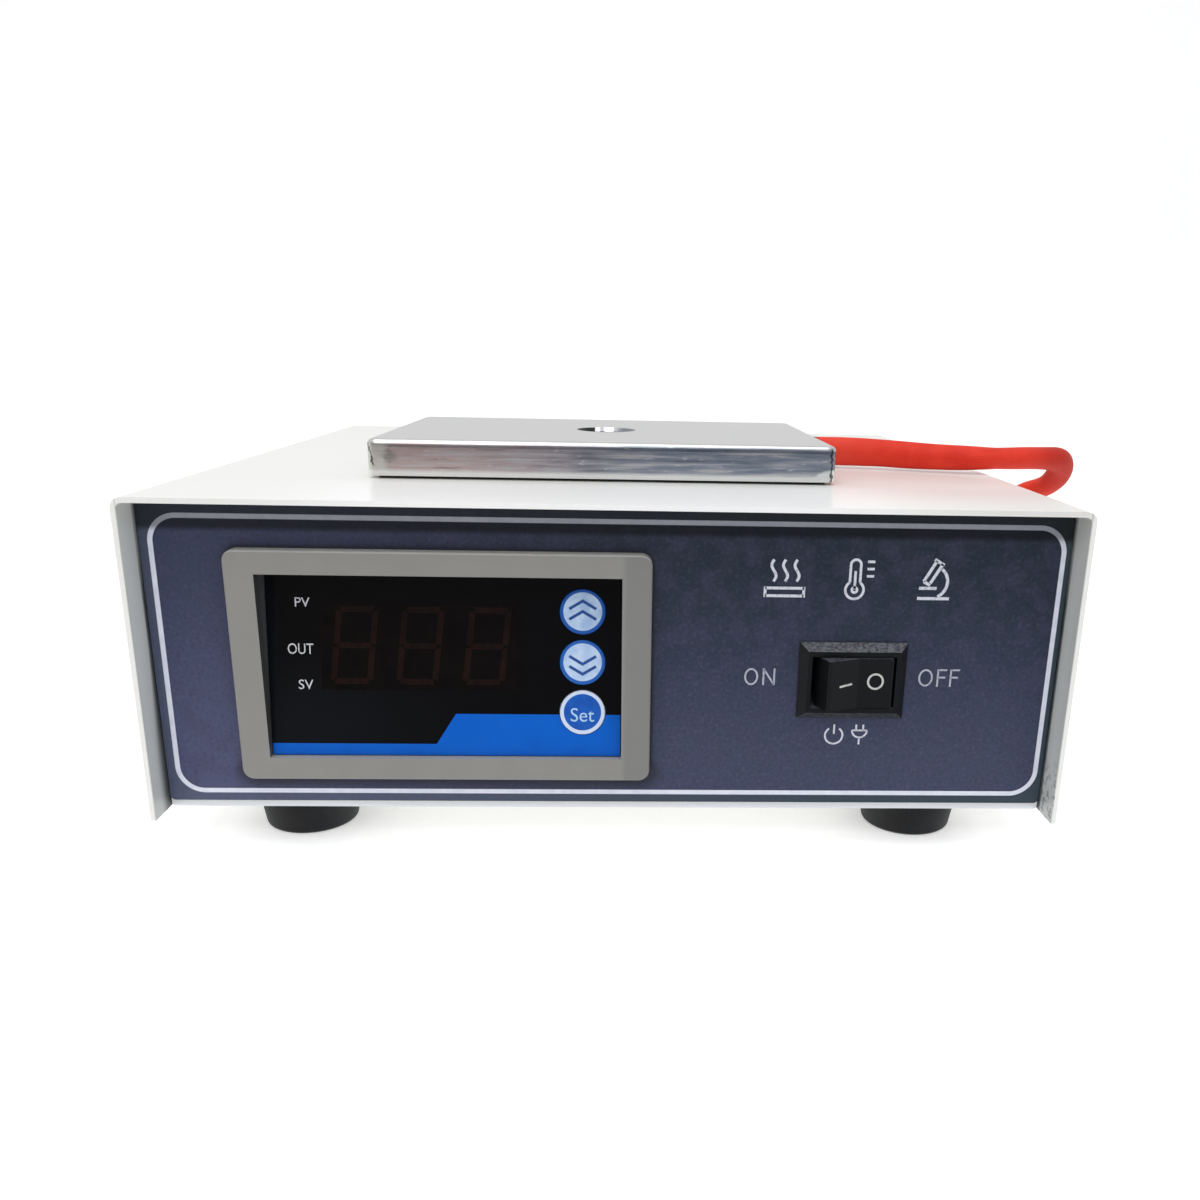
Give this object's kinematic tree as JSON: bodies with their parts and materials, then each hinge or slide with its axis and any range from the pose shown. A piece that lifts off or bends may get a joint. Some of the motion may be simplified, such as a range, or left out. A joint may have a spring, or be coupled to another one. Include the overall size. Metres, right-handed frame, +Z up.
{
  "type": "microscope warm stage",
  "caption": "Heated metal slide plate with a light hole, lying on its folded steel control box with a temperature controller, a rocker switch and a sleeved lead.",
  "frame": {"origin": "on the surface the feet stand on, under the middle of the box, cover screws and overhanging plate included and the lead left out", "axes": "+X to the right seen from the front panel, +Y to the rear panel, +Z up"},
  "size_m": [0.2006, 0.2519, 0.079],
  "materials": {
    "white_paint": "semi-gloss powder coat",
    "panel_film": "satin printed film",
    "screw_steel": "zinc plated",
    "foot_rubber": "matt",
    "grey_plastic": "satin moulded",
    "black_plastic": "satin moulded",
    "face_plastic": "gloss film",
    "key_blue": "satin film",
    "key_pale": "satin film",
    "display_plastic": "smoked",
    "board_green": "solder mask",
    "relay_blue": "moulded",
    "supply_yellow": "tape",
    "can_aluminium": "drawn can",
    "switch_plastic": "fine grain",
    "contact_brass": "plated",
    "core_steel": "stacked sheets, varnished",
    "bobbin_plastic": "moulded",
    "winding_copper": "enamelled wire",
    "strap_steel": "zinc plated",
    "plate_aluminium": "satin anodised",
    "heater_rubber": "silicone mat",
    "insulation_felt": "felt",
    "red_sleeve": "soft knitted sleeve"
  },
  "bodies": {
    "box": {"cover": "white_paint", "base": "white_paint", "front_overlay": "panel_film", "cover_screws": "screw_steel", "foot_front_left": "foot_rubber", "foot_front_right": "foot_rubber", "foot_rear_left": "foot_rubber", "foot_rear_right": "foot_rubber", "foot_screws": "screw_steel", "controller_frame": "grey_plastic", "controller_housing": "black_plastic", "controller_face": "face_plastic", "key_switches": "black_plastic", "controller_display": "display_plastic", "display_board": "board_green", "main_board": "board_green", "controller_relay": "relay_blue", "controller_supply": "supply_yellow", "controller_capacitor": "can_aluminium", "controller_terminals": "black_plastic", "controller_terminal_screws": "screw_steel", "controller_clips": "black_plastic", "switch_body": "switch_plastic", "switch_blades": "contact_brass", "inlet_body": "black_plastic", "inlet_pins": "contact_brass", "inlet_screws": "screw_steel", "inlet_nuts": "screw_steel", "fuse_holder": "black_plastic", "fuse_cap": "black_plastic", "fuse_nut": "black_plastic", "rear_bushing": "black_plastic", "transformer_core": "core_steel", "transformer_bobbin": "bobbin_plastic", "transformer_winding": "winding_copper", "transformer_strap": "strap_steel", "transformer_screws": "screw_steel", "terminal_block": "bobbin_plastic", "terminal_block_clamps": "contact_brass", "terminal_block_screws": "screw_steel", "earth_screw": "contact_brass", "m4_nuts": "screw_steel", "stage_cover": "plate_aluminium", "light_tube": "plate_aluminium", "stage_base": "plate_aluminium", "stage_screws": "screw_steel", "stage_posts": "contact_brass", "stage_heater": "heater_rubber", "stage_insulation": "insulation_felt", "stage_sensor": "strap_steel", "stage_bushing": "black_plastic", "lead_run": "red_sleeve", "lead_coil": "red_sleeve", "lead_tail": "red_sleeve", "lead_tie": "black_plastic"},
    "rocker": {"switch_rocker": "switch_plastic"},
    "up_key": {"key_up": "key_pale"},
    "down_key": {"key_down": "key_pale"},
    "set_key": {"key_set": "key_blue"}
  },
  "joints": [
    {"name": "rocker_tilt", "type": "hinge", "parent": "box", "child": "rocker", "pos_m": [0.0467, -0.0749, 0.0365], "axis": [0, 0, -1], "range_deg": [0, 23]},
    {"name": "up_press", "type": "slide", "parent": "box", "child": "up_key", "axis": [0, 0.9917, -0.1288], "range_m": [0, 0.0005], "stiffness_N_per_m": 3000},
    {"name": "down_press", "type": "slide", "parent": "box", "child": "down_key", "axis": [0, 0.9917, -0.1288], "range_m": [0, 0.0005], "stiffness_N_per_m": 3000},
    {"name": "set_press", "type": "slide", "parent": "box", "child": "set_key", "axis": [0, 0.9917, -0.1288], "range_m": [0, 0.0005], "stiffness_N_per_m": 3000}
  ]
}
